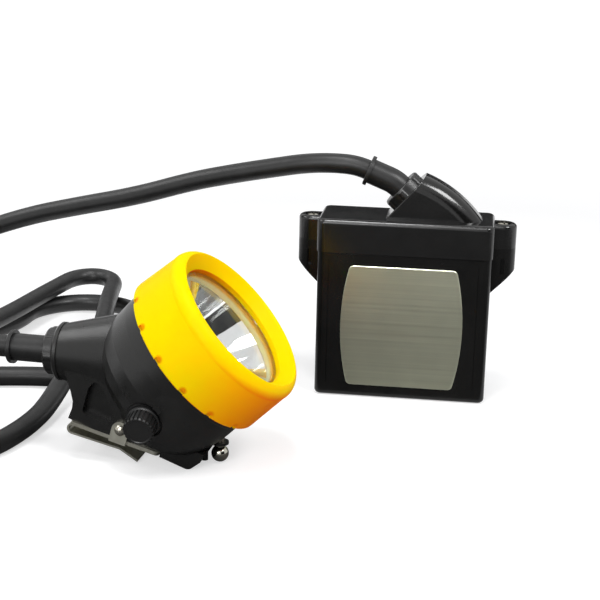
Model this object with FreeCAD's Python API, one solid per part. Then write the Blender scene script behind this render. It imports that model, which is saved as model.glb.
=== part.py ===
import FreeCAD, Part
import math
import os

# Miner's cap lamp: battery pack standing on its base, headpiece resting in front of it, one cable between.
# World frame: millimetres, +Z up, origin in the middle of the battery's base, the label faces -Y.

# Battery pack
case_w = 74.4            # case width
case_d = 30.0            # case depth
case_wall = 2.0
case_corner = 3.0        # radius of the upright edges
case_base_edge = 2.0     # radius of the edge round the base
pad_t = 2.6              # soft pad under the cells
cell_r = 9.15
cell_len = 65.0
cells_top = case_wall + pad_t + cell_len
lid_low = cells_top - 5.0   # lower edge of the lid's skirt
lid_top = cells_top + 9.4
lid_proud = 0.5          # lid stands out of the case by this
lid_groove = 0.6         # shadow line round the case under the lid
lid_edge = 2.0           # radius round the lid's top
spigot_in = 1.0          # the case's spigot is this much inside its face
spigot_top = cells_top + 4.3
lid_play = 0.3           # spigot to skirt
gasket_t = 1.4
lid_roof = 2.2

# Screw ears
ear_x = case_w / 2 + 4.0
ear_root = case_w / 2 - 3.0   # the ear reaches into the case's side as far as this
ear_y = 1.5
ear_r = 6.0
ear_split = lid_low + 2.6    # parting line of lid and case in the ear
ear_top = lid_top - 1.4
ear_low = lid_low - 7.1      # the ear tapers to the case below this
ear_edge = 1.6           # radius round the ear's top
screw_sink = 1.9         # the head's seat is this deep in the ear
screw_r = 1.75
screw_play = 0.25
screw_head_r = 3.1
screw_head_t = 1.7
insert_r = 2.9
insert_len = 7.6
screw_len = 17.0

# Cable turret on the lid
mouth_x = -0.4
mouth_z = lid_top + 9.6
mouth_up = 41.3          # degrees, how far the mouth looks up
mouth_rise = 11.9        # from the mouth's middle to the turret's top
turret_half = 9.5        # half width
turret_edge = 7.0        # radius along the turret's back
back_mid = (21.2, lid_top + 11.0)   # the back is an arc through here
back_end = (33.0, lid_top - 1.0)

# Cable and its fittings, the same at both ends
cord_r = 4.3
gland_r = 9.5            # over the lobes
gland_flat = 8.8
gland_t = 4.2
boot_r = 5.4
boot_flange_r = 6.6
boot_flange_t = 1.7
boot_bend = 20.0         # degrees, the pack's boot bends down at the nut
boot_bend_r = 16.0
boot_run = 9.8           # straight part after the bend
grommet_len = 7.0
grommet_r = 6.6

# Points of the cable's route between the two boots: over to the left, a wide turn behind the headpiece,
# a turn out of view in front, then the small raised turn behind the neck and up to the headpiece
cord_lead = (5.0, 20.0)   # straight leads out of the pack's boot and of the headpiece's boot
cord_route = [
    (-33, 0.9, 100.4), (-45, 2.4, 99.4), (-58, 5, 96.6), (-76, 8, 92.6), (-97, 12, 87.3), (-124, 17.5, 78), (-153, 24, 70.6),
    (-180, 27, 63.6), (-212, 28, 51.5), (-244, 26, 33), (-274, 17, 14.5), (-295, -9, 4.6),
    (-287, -41, 4.4), (-258, -51, 4.4), (-230, -34, 4.4), (-214, -4, 4.4), (-203, 26, 4.4),
    (-193, 50, 4.4), (-192.3, 73.1, 4.4), (-175.4, 90, 4.4), (-151.6, 90, 4.4), (-134.7, 73.1, 4.4),
    (-114, 48, 4.4), (-104, 16, 4.4), (-113, -13, 4.4), (-138, -26.5, 4.4), (-170, -29, 4.4),
    (-204, -40, 4.4), (-232, -64, 4.4), (-242, -100, 4.4), (-222, -135, 4.4), (-184, -146, 4.4),
    (-153, -120, 4.4), (-142.5, -84, 4.4), (-141.5, -54, 7.5), (-141, -26, 15.5), (-142, 5, 10.5),
    (-145, 32, 12), (-149.5, 56, 13.7), (-153.5, 79, 13.9), (-156.3, 99, 14.2), (-167.5, 105, 15),
    (-179, 99.5, 14.6), (-182.8, 81, 14.3), (-186.5, 60, 14.2), (-190.5, 36, 13.9), (-197, 6, 13.8),
    (-208, -24, 14), (-217, -53, 21), (-206, -81, 32)]

# Cells and electronics of the pack
cell_step = 20.6
strip_t = 0.3
pack_board = (58.0, 20.0, 1.6)

# Label plate
plate_low = 5.7
plate_high = 59.3
plate_half = 22.8        # half width at its straight top and bottom
plate_bulge = 26.3       # half width in the middle
plate_t = 0.6
plate_bevel = 0.25

# Headpiece, in its own frame: x towards the charging stud, y away from the viewer, z along the beam
head_at = (-71.6, -98.0, 43.83)   # its base stands on the table
head_pitch = 41.3        # degrees, beam above the table
head_yaw = -4.4
base_tilt = 56.6         # degrees between the beam and the clip's base
base_off = 39.7          # distance of the base plane from the head's origin

# Bezel, lens and reflector
bezel_r = 34.1
bezel_front_r = 33.3
bezel_h = 22.0
bezel_crest_r = 30.2
bezel_mouth_r = 25.9
bezel_lip_z = 17.6
lens_top = 15.6
lens_t = 3.0
lens_r = 27.9
bezel_bore = 30.3
spigot_r = 30.0
spigot_h = 9.3
turn_play = 0.35
seal_gap = 0.3           # lens seal, which turns with the bezel, to the reflector's flange
lug_r = 31.3
lug_z = (3.0, 5.0)
lug_half = 13.0          # degrees
lug_count = 4
notch_count = 15
notch_turn = 14.5        # degrees, place of the first notch
skirt_in = 32.4          # the bezel's lower rim overlaps the bowl
skirt_drop = 1.6
reflector_f = 6.8
reflector_wall = 1.1
reflector_hole = 5.2
reflector_rim = 27.8
reflector_play = 0.1
reflector_flange_z = (8.2, 9.3)

# Light engine and driver inside the bowl
board_r = 10.5
board_t = 1.6
sink_r = 14.5
sink_plate = 2.4
sink_fin = 5.0
driver_r = 14.0
driver_t = 1.6
cavity_r = 27.0
cavity_floor = -15.6
well_r = 17.2
well_floor = -31.0

# Neck, web and foot of the housing
neck_start = (-45.22, -33.69)   # z and x of the gland end, on the neck's axis
neck_len = 33.0
neck_r = 10.7            # at the gland end
neck_high = 18.8         # half height and half width where it meets the bowl
neck_wide = 16.0
neck_rim = 0.7           # the gland end stands out by this
neck_wire_bore = 3.2
web_half = 12.6
web_end = 9.9            # half width of the web at the gland end
pocket_deep = 4.0
foot_half = 11.0
foot_drop = 3.25         # foot stands below the clip plate's seat by this
tip_t = 10.5
tip_r = 3.0

# Switch knob
knob_face = (-7.0, 16.7, 36.2)   # middle of its face: along and above the base, and towards the viewer
knob_down = 12.0         # degrees, the knob looks down and to the right by these
knob_right = 5.0
knob_r = 5.8
knob_h = 7.4
knob_gap = 0.35
knob_ridges = 22
boss_r = 7.4
boss_n = 27.4
collar_r = 6.7
collar_t = 1.2
shaft_r = 2.2
shaft_play = 0.3         # in the housing
collar_play = 0.1        # in the collar that carries the shaft
switch_side = 8.4
switch_h = 7.2

# Cap clip, folded from one strip
clip_t = 1.5
clip_half = 12.6
clip_left = -38.6
clip_right = -2.0
clip_corner = 2.0
tab_r = 3.4              # the tab is round about its rivet
tab_t = -18.6            # place of the rivet along and above the base
tab_rise = 4.0
rivet_r = 2.2
rivet_t = 1.3

# Sprung tongue under the clip's plate, folded from a thinner strip
tongue_t = 0.8
tongue_half = 10.6
tongue_fold_r = 1.9      # middle of the strip
tongue_lap = 9.0         # length that lies against the plate
tongue_bend = (-17.6, -4.5)
tongue_tip = (-9.4, -6.9)

# Charging stud
stud_zx = (-17.3, 32.3)
stud_ball_r = 3.4
stud_stem_r = 1.8
stud_washer_r = 3.4
stud_washer_t = 1.0
stud_seat = 0.3          # the washer is let into the skin by this
stud_nut_at = 4.5        # inner seat, behind the skin
stud_nut_r = 3.2
stud_nut_t = 2.4

nodes = {}
V = FreeCAD.Vector
up = V(0, 0, 1)


def radians(a):
    return a * math.pi / 180.0


def box(x0, x1, y0, y1, z0, z1):
    return Part.makeBox(x1 - x0, y1 - y0, z1 - z0, V(x0, y0, z0))


def rod(r, start, along, length):
    return Part.makeCylinder(r, length, start, along)


def tube(outer, inner, start, along, length):
    unit = V(along).normalize()
    return rod(outer, start, along, length).cut(rod(inner, start - unit, along, length + 2))


def face_of(points):
    return Part.Face(Part.makePolygon(points + [points[0]]))


def revolve(profile, along=None, at=None):
    # profile is a list of (radius, height) round the z axis; a 3-tuple entry is a point that an arc passes through
    edges, i, n = [], 0, len(profile)
    pts = profile + [profile[0]]
    while i < n:
        a, b = pts[i], pts[i + 1]
        if len(b) == 3:
            c = pts[i + 2]
            edges.append(Part.Arc(V(a[0], 0, a[1]), V(b[0], 0, b[1]), V(c[0], 0, c[1])).toShape())
            i += 2
        else:
            edges.append(Part.LineSegment(V(a[0], 0, a[1]), V(b[0], 0, b[1])).toShape())
            i += 1
    solid = Part.Face(Part.Wire(edges)).revolve(V(0, 0, 0), up, 360)
    if along is not None:
        solid.Placement = FreeCAD.Placement(at or V(0, 0, 0), FreeCAD.Rotation(up, along))
    return solid


def round_rect(w, d, r, z0, z1, cy=0.0):
    block = box(-w / 2, w / 2, cy - d / 2, cy + d / 2, z0, z1)
    tall = [e for e in block.Edges if abs(e.Vertexes[0].Z - e.Vertexes[1].Z) > 1e-6]
    return block.makeFillet(r, tall)


def one(shape):
    # a boolean result holding one solid comes back as that solid
    shape = shape.removeSplitter()
    return shape.Solids[0] if len(shape.Solids) == 1 else shape


def group(shapes):
    return Part.makeCompound([s for shape in shapes for s in shape.Solids])


def fuse(shapes):
    return shapes[0].fuse(shapes[1:]) if len(shapes) > 1 else shapes[0]


def edges_at(shape, test):
    return [e for e in shape.Edges if test(e)]


# Battery case with its spigot and the lower halves of the ears

def ear_block(side, z0, z1):
    x = side * ear_x
    root = side * ear_root
    pad = box(min(x, root), max(x, root), ear_y - ear_r, ear_y + ear_r, z0, z1)
    return rod(ear_r, V(x, ear_y, z0), up, z1 - z0).fuse(pad).removeSplitter()


def make_case():
    body = round_rect(case_w, case_d, case_corner, 0, lid_low)
    low = edges_at(body, lambda e: max(v.Z for v in e.Vertexes) < 1e-6)
    body = body.makeFillet(case_base_edge, low)
    spigot = round_rect(case_w - 2 * spigot_in, case_d - 2 * spigot_in, case_corner - spigot_in, lid_low - 4, spigot_top)
    parts = [body, spigot]
    skirt_room = round_rect(case_w + 2 * lid_proud, case_d + 2 * lid_proud, case_corner + lid_proud, lid_low, lid_top)
    for side in (-1, 1):
        ear = ear_block(side, ear_low - ear_r - 5, ear_split).cut(skirt_room)
        x_out = ear_x + ear_r
        drop = 14.0
        wedge = face_of([V(side * x_out, -20, ear_low), V(side * (x_out - drop), -20, ear_low - drop),
                         V(side * (x_out + 4), -20, ear_low - drop), V(side * (x_out + 4), -20, ear_low)])
        ear = ear.cut(wedge.extrude(V(0, 40, 0)))
        parts.append(ear)
    shape = fuse(parts)
    inner = round_rect(case_w - 2 * case_wall - 1, case_d - 2 * case_wall - 1, 1.2, case_wall, spigot_top + 5)
    shape = shape.cut(inner)
    for side in (-1, 1):
        shape = shape.cut(rod(insert_r, V(side * ear_x, ear_y, ear_split - insert_len), up, 20))
        shape = shape.cut(rod(screw_r + screw_play, V(side * ear_x, ear_y, ear_split - insert_len - 2), up, 20))
        slot_x = side * (ear_x + 0.6)
        shape = shape.cut(box(slot_x - 0.8, slot_x + 0.8, ear_y - ear_r - 2, ear_y - ear_r + 2.2,
                              ear_low - 1.5, ear_low + 5.5))
    # shadow line under the lid, between the ears
    step = box(-ear_root, ear_root, -case_d, case_d, lid_low - lid_groove, lid_low + 0.1)
    waist = round_rect(case_w - 2 * lid_groove, case_d - 2 * lid_groove, case_corner - lid_groove, lid_low - 3, lid_low + 3)
    shape = shape.cut(step.cut(waist))
    # strips down the upright front edges
    for side in (-1, 1):
        x = side * (case_w / 2 - 5.2)
        shape = shape.cut(box(x - 0.25, x + 0.25, -case_d / 2 - 1, -case_d / 2 + 0.35, 6, lid_low - 3))
    return one(shape)


def turret_frame():
    a = radians(mouth_up)
    out = V(-math.cos(a), 0, math.sin(a))
    return V(mouth_x, 0, mouth_z), out


def make_turret():
    mouth, out = turret_frame()
    d = V(out.z, 0, -out.x)                       # along the mouth's face, upwards
    low = mouth - d * ((mouth.z - lid_top + 1.0) / d.z)
    top = mouth + d * mouth_rise
    mid, end = V(back_mid[0], 0, back_mid[1]), V(back_end[0], 0, back_end[1])
    shift = V(0, -turret_half, 0)
    edges = [Part.makeLine(low + shift, top + shift), Part.Arc(top + shift, mid + shift, end + shift).toShape(),
             Part.makeLine(end + shift, low + shift)]
    body = Part.Face(Part.Wire(edges)).extrude(V(0, 2 * turret_half, 0))
    back = edges_at(body, lambda e: not isinstance(e.Curve, Part.Line))
    body = body.makeFillet(turret_edge, back)
    rim = edges_at(body, lambda e: all(abs((v.Point - mouth).dot(out)) < 1e-4 for v in e.Vertexes)
                   and abs((e.CenterOfMass - mouth).dot(out)) < 1e-4 and e.CenterOfMass.z > lid_top)
    try:
        body = body.makeFillet(0.5, rim)
    except Exception:
        print("mouth rim left sharp")
    return body


def make_lid():
    w, d = case_w + 2 * lid_proud, case_d + 2 * lid_proud
    body = round_rect(w, d, case_corner + lid_proud, lid_low, lid_top)
    rim = edges_at(body, lambda e: min(v.Z for v in e.Vertexes) > lid_top - 1e-6)
    body = body.makeFillet(lid_edge, rim)
    parts = [body]
    for side in (-1, 1):
        ear = ear_block(side, ear_split, ear_top)
        top = edges_at(ear, lambda e: min(v.Z for v in e.Vertexes) > ear_top - 1e-6
                       and abs(e.CenterOfMass.x) > ear_root + 0.1)
        parts.append(ear.makeFillet(ear_edge, top))
    parts.append(make_turret())
    shape = fuse(parts)
    skirt = 2 * (spigot_in - lid_play)
    shape = shape.cut(round_rect(case_w - skirt, case_d - skirt, case_corner - spigot_in + lid_play,
                                 lid_low - 1, spigot_top + gasket_t))
    shape = shape.cut(round_rect(case_w - 2 * case_wall - 2, case_d - 2 * case_wall - 2, 1.0,
                                 lid_low, lid_top - lid_roof))
    mouth, out = turret_frame()
    shape = shape.cut(rod(grommet_r, mouth - out * grommet_len, out, grommet_len + 5))
    shape = shape.cut(rod(3.4, mouth - out * 26, out, 30))
    for side in (-1, 1):
        shape = shape.cut(rod(screw_r + screw_play, V(side * ear_x, ear_y, ear_split - 1), up, 20))
        shape = shape.cut(rod(screw_head_r + screw_play, V(side * ear_x, ear_y, ear_top - screw_sink), up, 20))
    return one(shape)


def make_gasket():
    outer = round_rect(case_w - 2 * spigot_in, case_d - 2 * spigot_in, case_corner - spigot_in,
                       spigot_top, spigot_top + gasket_t)
    inner = round_rect(case_w - 2 * case_wall - 1, case_d - 2 * case_wall - 1, 1.2, spigot_top - 1, spigot_top + 5)
    return one(outer.cut(inner))


def make_screw(side):
    at = V(side * ear_x, ear_y, ear_top - screw_sink)
    head = revolve([(0, 0), (screw_head_r, 0), (screw_head_r, 0.7), (screw_head_r * 0.8, 1.35, 0), (0, screw_head_t)])
    shank = rod(screw_r, V(0, 0, -screw_len), up, screw_len + 0.2)
    body = head.fuse(shank)
    for a in (0, 90):
        slot = box(-1.9, 1.9, -0.35, 0.35, screw_head_t - 0.9, screw_head_t + 1)
        slot.rotate(V(0, 0, 0), up, a + 20)
        body = body.cut(slot)
    body.translate(at)
    return one(body)


def make_insert(side):
    start = V(side * ear_x, ear_y, ear_split - insert_len)
    body = tube(insert_r, screw_r, start, up, insert_len)
    groove = tube(insert_r + 1, insert_r - 0.4, start + V(0, 0, 3.2), up, 1.2)
    return one(body.cut(groove))


def make_plate():
    y = -case_d / 2
    def outline(grow, yy):
        z0, z1, h, b = plate_low - grow, plate_high + grow, plate_half + grow, plate_bulge + grow
        zm = (z0 + z1) / 2
        return Part.Wire([Part.LineSegment(V(-h, yy, z0), V(h, yy, z0)).toShape(),
                          Part.Arc(V(h, yy, z0), V(b, yy, zm), V(h, yy, z1)).toShape(),
                          Part.LineSegment(V(h, yy, z1), V(-h, yy, z1)).toShape(),
                          Part.Arc(V(-h, yy, z1), V(-b, yy, zm), V(-h, yy, z0)).toShape()])
    body = Part.Face(outline(0, y)).extrude(V(0, -plate_t, 0))
    corners = edges_at(body, lambda e: abs(abs(e.Vertexes[0].Y - e.Vertexes[-1].Y) - plate_t) < 1e-6)
    body = body.makeFillet(2.2, corners)
    front = edges_at(body, lambda e: max(v.Y for v in e.Vertexes) < y - plate_t + 1e-6)
    return one(body.makeChamfer(plate_bevel, front))


def make_cells():
    z0 = case_wall + pad_t
    cells = []
    for i in (-1, 0, 1):
        can = rod(cell_r, V(i * cell_step, 0, z0), up, cell_len - 1.2)
        rim = edges_at(can, lambda e: len(e.Vertexes) == 1)
        can = can.makeFillet(0.9, rim)
        cap = rod(3.0, V(i * cell_step, 0, z0 + cell_len - 2), up, 2.0)
        cells.append(can.fuse(cap))
    return group(cells)


def make_cell_pad():
    pad = round_rect(case_w - 2 * case_wall - 2, case_d - 2 * case_wall - 2, 1.0, case_wall, case_wall + pad_t)
    for i in (-0.5, 0.5):
        pad = pad.cut(rod(2.0, V(i * cell_step, 0, 0), up, 20))
    return one(pad)


def make_strips():
    z = case_wall + pad_t + cell_len
    link = box(-cell_step - 3.2, cell_step + 3.2, -2.5, 2.5, z, z + strip_t)
    return one(link)


def make_pack_board():
    z = case_wall + pad_t + cell_len + strip_t
    w, d, t = pack_board
    board = box(-w / 2, w / 2, -d / 2, d / 2, z, z + t)
    for x, y, bw, bd, h in ((-20, 4, 6, 5, 1.6), (-11, -4, 5, 6, 1.4), (16, 3, 7, 4, 1.8), (24, -4, 5, 7, 1.2)):
        board = board.fuse(box(x - bw / 2, x + bw / 2, y - bd / 2, y + bd / 2, z + t, z + t + h))
    for x in (-6, 6):
        board = board.cut(rod(1.1, V(x, 7, z - 1), up, 5))
    return one(board)


# Cable fittings, built along z with the mouth's face at z = 0, then placed

def make_gland():
    lobes = []
    for i in range(6):
        a = radians(60 * i + 30)
        lobes.append(rod(2.0, V((gland_r - 2.0) * math.cos(a), (gland_r - 2.0) * math.sin(a), 0), up, gland_t))
    core = fuse([rod(gland_flat, V(0, 0, 0), up, gland_t)] + lobes)
    core = core.common(revolve([(0, 0), (gland_r, 0), (gland_r, gland_t - 1.0), (gland_r - 1.0, gland_t), (0, gland_t)]))
    return one(core.cut(rod(boot_r, V(0, 0, -1), up, gland_t + 2)))


def boot_path(bend):
    # centre line of the boot above the mouth: straight through the nut, then an arc that drops towards +x
    straight = gland_t + 0.6
    a = radians(bend)
    if bend == 0:
        return straight, V(0, 0, straight + boot_bend_r * radians(boot_bend) + boot_run), V(0, 0, 1)
    turned = V(boot_bend_r * (1 - math.cos(a)), 0, straight + boot_bend_r * math.sin(a))
    out = V(math.sin(a), 0, math.cos(a))
    return straight, turned + out * boot_run, out


def make_boot(bend):
    straight, end, out = boot_path(bend)
    # the tube ends inside the flange
    if bend:
        disc = Part.Face(Part.Wire(Part.makeCircle(boot_r, V(0, 0, straight), up)))
        curve = disc.revolve(V(boot_bend_r, 0, straight), V(0, 1, 0), bend)
        curve = curve.fuse(rod(boot_r, end - out * boot_run, out, boot_run - boot_flange_t / 2))
    else:
        curve = rod(boot_r, V(0, 0, straight), up, end.z - straight - boot_flange_t / 2)
    flange = rod(boot_flange_r, end - out * boot_flange_t, out, boot_flange_t)
    rim = edges_at(flange, lambda e: len(e.Vertexes) == 1 and (e.CenterOfMass - end).Length < 0.1)
    flange = flange.makeFillet(0.5, rim)
    body = fuse([rod(boot_r, V(0, 0, 0), up, straight), curve, flange])
    # the cord goes in as far as the last ring and the two leads go on from there
    body = body.cut(rod(1.2, V(0, 2.0, -1), up, 5)).cut(rod(1.2, V(0, -2.0, -1), up, 5))
    return one(body)


def make_grommet():
    body = rod(grommet_r, V(0, 0, -grommet_len), up, grommet_len)
    body = body.cut(tube(grommet_r + 1, grommet_r - 0.7, V(0, 0, -grommet_len + 1.6), up, 1.4))
    body = body.cut(tube(grommet_r + 1, grommet_r - 0.7, V(0, 0, -2.6), up, 1.2))
    return one(body.cut(rod(1.2, V(0, 2.0, -20), up, 30)).cut(rod(1.2, V(0, -2.0, -20), up, 30)))


# Headpiece, in its own frame

def tw(t, w, n=0.0):
    # a point given along the base, above the base and towards the viewer, in the head's frame
    b = radians(base_tilt)
    return V(t * math.sin(b) - (w - base_off) * math.cos(b), -n, t * math.cos(b) + (w - base_off) * math.sin(b))


base_along = tw(1, 0) - tw(0, 0)
base_up = tw(0, 1) - tw(0, 0)
near = V(0, -1, 0)


def flat_prism(points, n0, n1):
    return face_of([tw(t, w, n0) for t, w in points]).extrude(near * (n1 - n0))


def bowl_section(left, right, half):
    l, r = tw(*left), tw(*right)
    centre = (l + r) * 0.5
    arc = Part.Ellipse(centre + near * half, r, centre)
    return Part.Wire(arc.toShape())


def make_bowl():
    side = bezel_r - 2.2
    sections = [bowl_section((-26.7, 55.5), (25.1, 21.4), 31.05),
                bowl_section((-26.2, 38.5), (21.2, 14.4), 31.0),
                bowl_section((-24.6, 16.5), (15.4, 6.2), 26.2),
                bowl_section((-17.6, 1.9), (8.2, 1.0), 13.2)]
    skirt = Part.makeLoft(sections, True, False)
    round_back = revolve([(0, -0.5), (side, -0.5), (31.4, -8), (30.4, -16), (28.4, -22), (25.2, -27), (20.6, -31),
                          (15, -34), (8, -35.8), (0, -36.3)])
    return skirt.fuse(round_back)


def neck_frame():
    a = radians(head_pitch)
    return V(neck_start[1], 0, neck_start[0]), V(-math.sin(a), 0, -math.cos(a))


def make_neck():
    at, out = neck_frame()
    a = radians(head_pitch)
    vert = V(-math.cos(a), 0, math.sin(a))
    def section(d, high, wide):
        c = at - out * d
        return Part.Wire(Part.Ellipse(c + vert * high, c + near * wide, c).toShape())
    cone = Part.makeLoft([section(1.0, neck_r + 0.05, neck_r), section(neck_len, neck_high, neck_wide)], True, True)
    rim = neck_r + neck_rim
    cap = revolve([(0, 0), (rim - 1.0, 0), (rim, 1.0), (rim, 2.2), (0, 2.2)], out * -1, at)
    # web down to the clip, narrower at the gland's end
    web = flat_prism([(-48.6, 21.4), (-45.2, 16.4), (-41.8, 11.0), (-40.0, 7.5), (-39.6, 4.5), (-40.2, 0),
                      (-14, 0), (-14, 30.9)], -20, 20)
    plan = [(-12, web_end - 0.1), (0, web_end), (17, web_half), (60, web_half)]
    sides = [at - out * d + near * n - vert * 60 for d, n in plan] + [at - out * d - near * n - vert * 60 for d, n in plan[::-1]]
    web = web.common(face_of(sides).extrude(vert * 120))
    return cone.fuse([cap, web])


def make_housing():
    bowl = make_bowl()
    # foot: a slab under the bowl, proud of the clip's plate towards the tip
    foot = flat_prism([(-24, 0), (clip_right + 0.2, 0), (clip_right + 0.2, -2.2), (tip_t, -foot_drop), (14.0, 1.4),
                       (14.6, 5.0), (-24, 5.0)], -foot_half, foot_half)
    tip = edges_at(foot, lambda e: (e.CenterOfMass - tw(tip_t, -foot_drop)).Length < 0.5)
    foot = foot.makeFillet(tip_r, tip)
    at, out = neck_frame()
    knob_at, knob_out = knob_frame()[:2]
    boss = rod(boss_r, knob_at + knob_out * 8, knob_out, boss_n - 8)
    shape = fuse([bowl, foot, make_neck(), boss] + raised_marks(bowl))
    # spigot that the bezel turns on, with its lugs
    shape = shape.fuse(rod(spigot_r, V(0, 0, -3), up, spigot_h + 3))
    ring = tube(lug_r, spigot_r - 1, V(0, 0, lug_z[0]), up, lug_z[1] - lug_z[0])
    lugs = []
    for i in range(lug_count):
        wedge = sector(lug_half, 40, lug_z[0] - 1, lug_z[1] + 1)
        wedge.rotate(V(0, 0, 0), up, 360.0 / lug_count * i + 45)
        lugs.append(ring.common(wedge))
    shape = fuse([shape] + lugs)
    # inside of the bowl
    shape = shape.cut(rod(cavity_r, V(0, 0, cavity_floor), up, 60))
    shape = shape.cut(rod(well_r, V(0, 0, well_floor), up, 60))
    shape = shape.cut(rod(reflector_rim + reflector_play, V(0, 0, reflector_flange_z[0]), up, 10))
    side = switch_side / 2 + 0.2
    shape = shape.cut(turned_box(side, side, 10.0, boss_n - 2.8))
    shape = shape.cut(rod(shaft_r + shaft_play, knob_at + knob_out * 10, knob_out, boss_n - 5))
    shape = shape.cut(rod(boss_r, knob_at + knob_out * boss_n, knob_out, 15))
    shape = shape.cut(rod(shaft_r + 1.6, knob_at + knob_out * (boss_n - 1.3), knob_out, 5))
    # pockets in both sides of the web
    pocket = [(-35.3, 4.8), (-35.1, 15.2), (-33.4, 19.0), (-30.6, 18.2), (-27.4, 14.9), (-23.6, 8.8), (-23.2, 3.6)]
    for n0, n1 in ((web_half - pocket_deep, web_half + 5), (-web_half - 5, -web_half + pocket_deep)):
        p = flat_prism(pocket, n0, n1)
        p = p.makeFillet(1.6, edges_at(p, lambda e: abs(abs(e.tangentAt(e.FirstParameter).dot(near)) - 1) < 1e-4))
        shape = shape.cut(p)
    # seat of the clip's plate and of its tabs
    seat = flat_prism([(clip_left - 8, -6), (clip_right + 0.2, -6), (clip_right + 0.2, 0), (clip_left - 8, 0)],
                      -foot_half - 9, foot_half + 9)
    shape = shape.cut(seat)
    for s in (-1, 1):
        n0, n1 = sorted((s * web_half, s * (web_half + 12)))
        room = tab_r + 0.3
        tab_seat = rod(room, tw(tab_t, tab_rise, n0), near, n1 - n0)
        tab_seat = tab_seat.fuse(flat_prism([(tab_t - room, -1), (tab_t + room, -1), (tab_t + room, tab_rise),
                                             (tab_t - room, tab_rise)], n0, n1))
        shape = shape.cut(tab_seat)
    shape = shape.cut(rod(1.25, tw(tab_t, tab_rise, -web_half - 4), near, 2 * web_half + 8))
    # way for the cable
    shape = shape.cut(rod(grommet_r, at, out * -1, grommet_len).fuse(rod(neck_wire_bore, at, out * -1, 32)))
    # stud hole
    s_at, s_out = stud_frame()
    shape = shape.cut(rod(stud_stem_r, s_at - s_out * 12, s_out, 20))
    shape = shape.cut(rod(stud_washer_r + 0.1, s_at - s_out * stud_seat, s_out, 10).common(rod(40, V(0, 0, -60), up, 59.7)))
    shape = shape.cut(rod(stud_nut_r + 0.3, s_at - s_out * stud_nut_at, s_out * -1, 12))
    return one(shape)


def raised_marks(bowl):
    # three dots and a ring beside the knob, and a pip by the stud
    marks = []
    for z, x in ((-19.9, -8.6), (-21.9, -7.2), (-20.4, -5.6)):
        marks.append(rod(0.6, V(x, -side_of(bowl, z, x) + 1.2, z), near, 1.6))
    z, x = -14.6, 5.2
    skin = side_of(bowl, z, x)
    marks.append(rod(1.6, V(x, -skin + 1.4, z), near, 1.75).cut(rod(1.0, V(x, -skin - 0.1, z), near, 3)))
    marks.append(rod(1.3, V(29.9, -3.0, -22.2), stud_frame()[1], 5.3))
    return marks


def side_of(shape, z, x):
    # how far the bowl's skin is from the middle plane at this place
    line = Part.makeLine(V(x, 0, z), V(x, -60, z))
    return max(-v.Y for v in shape.common(line).Vertexes)


def sector(half, r, z0, z1):
    a = radians(half)
    return face_of([V(0, 0, z0), V(r, -r * math.tan(a), z0), V(r, r * math.tan(a), z0)]).extrude(V(0, 0, z1 - z0))


def knob_frame():
    # a point of the knob's axis as far below its face as the stack of parts is high, and the knob's own directions
    a, b = radians(knob_down), radians(knob_right)
    out = (near * (math.cos(a) * math.cos(b)) - base_up * math.sin(a) + base_along * (math.cos(a) * math.sin(b))).normalize()
    across = base_up.cross(out).normalize()
    rise = out.cross(across)
    at = tw(*knob_face) - out * (boss_n + collar_t + knob_gap + knob_h)
    return at, out, across, rise


def turned_box(half_t, half_w, n0, n1):
    at, out, across, rise = knob_frame()
    pts = [at + across * (a * half_t) + rise * (b * half_w) + out * n0 for a, b in ((-1, -1), (1, -1), (1, 1), (-1, 1))]
    return face_of(pts).extrude(out * (n1 - n0))


def make_bezel():
    body = revolve([(bezel_bore, 0), (skirt_in, 0), (skirt_in, -skirt_drop), (bezel_r - 0.5, -skirt_drop),
                    (bezel_r, 0.5 - skirt_drop), (bezel_front_r, bezel_h - 5.6),
                    (bezel_front_r - 0.95, bezel_h - 1.6, 0), (bezel_crest_r, bezel_h), (bezel_mouth_r, bezel_lip_z),
                    (bezel_mouth_r, lens_top), (lens_r + 0.15, lens_top), (lens_r + 0.15, spigot_h + 0.3),
                    (bezel_bore, spigot_h + 0.3)])
    # ring groove for the lugs, and the four ways into it
    groove = tube(lug_r + turn_play, bezel_bore - 1, V(0, 0, lug_z[0] - turn_play), up, lug_z[1] - lug_z[0] + 2 * turn_play)
    body = body.cut(groove)
    for i in range(lug_count):
        way = tube(lug_r + turn_play, bezel_bore - 1, V(0, 0, -1), up, lug_z[1])
        cut = sector(lug_half + 2, 40, -2, 20)
        cut.rotate(V(0, 0, 0), up, 360.0 / lug_count * i + 45 - 32)
        body = body.cut(way.common(cut))
    for i in range(notch_count):
        notch = box(bezel_r - 1.0, bezel_r + 2, -1.2, 1.2, -skirt_drop - 1, 1.5 - skirt_drop)
        notch.rotate(V(0, 0, 0), up, 360.0 / notch_count * i + notch_turn)
        body = body.cut(notch)
    return one(body)


def make_lens():
    z = lens_top - lens_t
    return revolve([(0, z), (lens_r, z), (lens_r, lens_top - 0.4), (lens_r - 0.4, lens_top), (0, lens_top)])


def make_lens_seal():
    z = lens_top - lens_t
    low = reflector_flange_z[1] + seal_gap
    return revolve([(lens_r - 2.9, z), (lens_r - 0.1, z), (lens_r - 0.1, low), (lens_r - 2.9, low)])


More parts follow.
